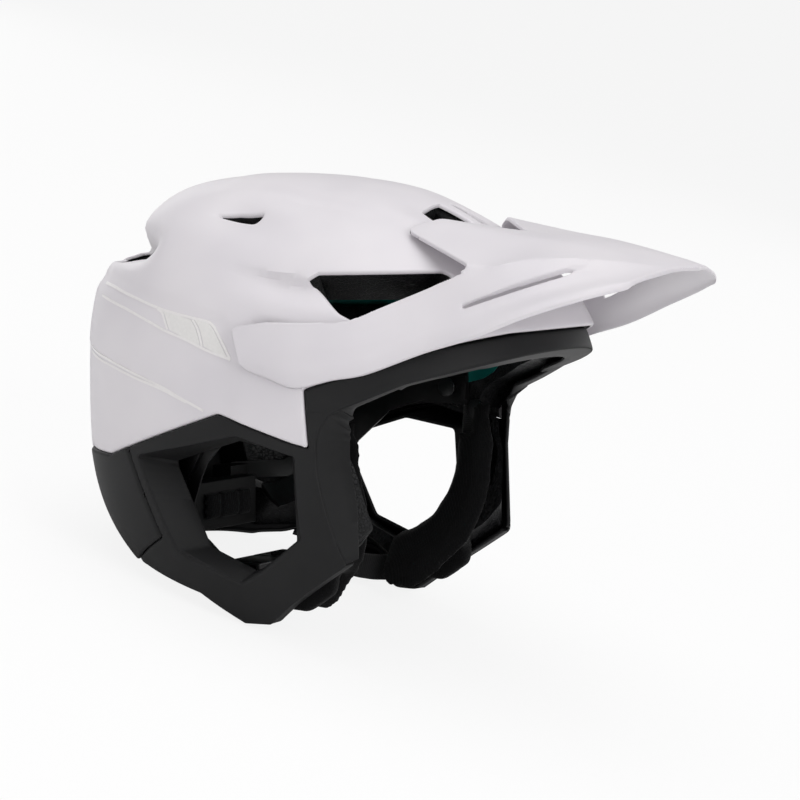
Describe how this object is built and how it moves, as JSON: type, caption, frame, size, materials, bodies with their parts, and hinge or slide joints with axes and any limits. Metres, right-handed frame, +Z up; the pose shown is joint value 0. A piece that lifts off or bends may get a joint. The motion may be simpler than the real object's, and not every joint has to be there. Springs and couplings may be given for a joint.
{
  "type": "mountain bike helmet",
  "caption": "Open face mountain bike helmet with deep ear guards, a long tilting visor, foam liner, pads, a dial fit cradle and a buckled chin strap.",
  "frame": {"origin": "centre of the bounding box's base, on the surface the helmet stands on", "axes": "+X to the front and the visor's tip, +Y to the wearer's left, +Z up, with the helmet leaned back on its rear rim and cheeks"},
  "size_m": [0.3125, 0.2204, 0.2402],
  "materials": {
    "shell_white": "matte soft touch paint over thin moulded polycarbonate",
    "shell_black": "fine textured moulded plastic",
    "foam": "beaded foam with visible beads",
    "fastener": "moulded nylon",
    "liner": "thin smooth low friction sheet",
    "rubber_black": "moulded rubber",
    "pad_fabric": "knitted wicking cloth over foam",
    "fit_plastic": "moulded nylon",
    "webbing": "woven webbing",
    "buckle_plastic": "moulded acetal"
  },
  "bodies": {
    "helmet": {"upper_shell": "shell_white", "brow_band": "shell_black", "ear_guard_left": "shell_black", "ear_guard_right": "shell_black", "rear_cover": "shell_black", "eps_dome": "foam", "eps_ear_left": "foam", "eps_ear_right": "foam", "cheek_pad_left": "pad_fabric", "cheek_pad_right": "pad_fabric", "visor_screws": "fastener", "temple_pins": "fastener", "strap_anchors": "fastener", "liner_tethers": "rubber_black", "strap_left": "webbing", "strap_right": "webbing", "buckle_socket": "buckle_plastic", "buckle_tongue": "buckle_plastic"},
    "visor": {"visor": "shell_white"},
    "slip_liner": {"slip_liner": "liner", "brow_pad": "pad_fabric", "crown_pad": "pad_fabric", "side_pad_left": "pad_fabric", "side_pad_right": "pad_fabric"},
    "cradle": {"dial_housing": "fit_plastic", "cradle_arm_left": "fit_plastic", "cradle_arm_right": "fit_plastic", "cradle_cover": "fit_plastic", "cradle_pad": "pad_fabric"},
    "belt_left": {"belt_left": "fit_plastic"},
    "belt_right": {"belt_right": "fit_plastic"},
    "dial": {"dial_knob": "rubber_black", "dial_pinion": "fastener"},
    "buckle_tab": {"buckle_tab": "buckle_plastic"}
  },
  "joints": [
    {"name": "visor_tilt", "type": "hinge", "parent": "helmet", "child": "visor", "pos_m": [0.00419, 0, 0.14585], "axis": [0, -1, 0], "range_deg": [0, 12]},
    {"name": "liner_slip", "type": "hinge", "parent": "helmet", "child": "slip_liner", "pos_m": [-0.02109, 0, 0.14921], "axis": [-0.309, 0, 0.9511], "range_deg": [-1.5, 1.5], "stiffness_Nm_per_rad": 8},
    {"name": "cradle_tilt", "type": "hinge", "parent": "helmet", "child": "cradle", "pos_m": [0.00397, 0, 0.11739], "axis": [0, 1, 0], "range_deg": [-3, 3]},
    {"name": "dial_turn", "type": "hinge", "parent": "cradle", "child": "dial", "pos_m": [-0.0891, 0, 0.02196], "axis": [0.9511, 0, 0.309], "range_deg": [0, 57]},
    {"name": "belt_slide_left", "type": "slide", "parent": "cradle", "child": "belt_left", "axis": [0, -1, 0], "range_m": [0, 0.005]},
    {"name": "belt_slide_right", "type": "slide", "parent": "cradle", "child": "belt_right", "axis": [0, 1, 0], "range_m": [0, 0.005]},
    {"name": "tab_slide", "type": "slide", "parent": "helmet", "child": "buckle_tab", "axis": [0, -1, 0], "range_m": [0, 0.0025], "stiffness_N_per_m": 600}
  ],
  "couplings": [
    {"joint": "belt_slide_left", "follows": "dial_turn", "m_per_rad": 0.005},
    {"joint": "belt_slide_right", "follows": "dial_turn", "m_per_rad": 0.005}
  ]
}
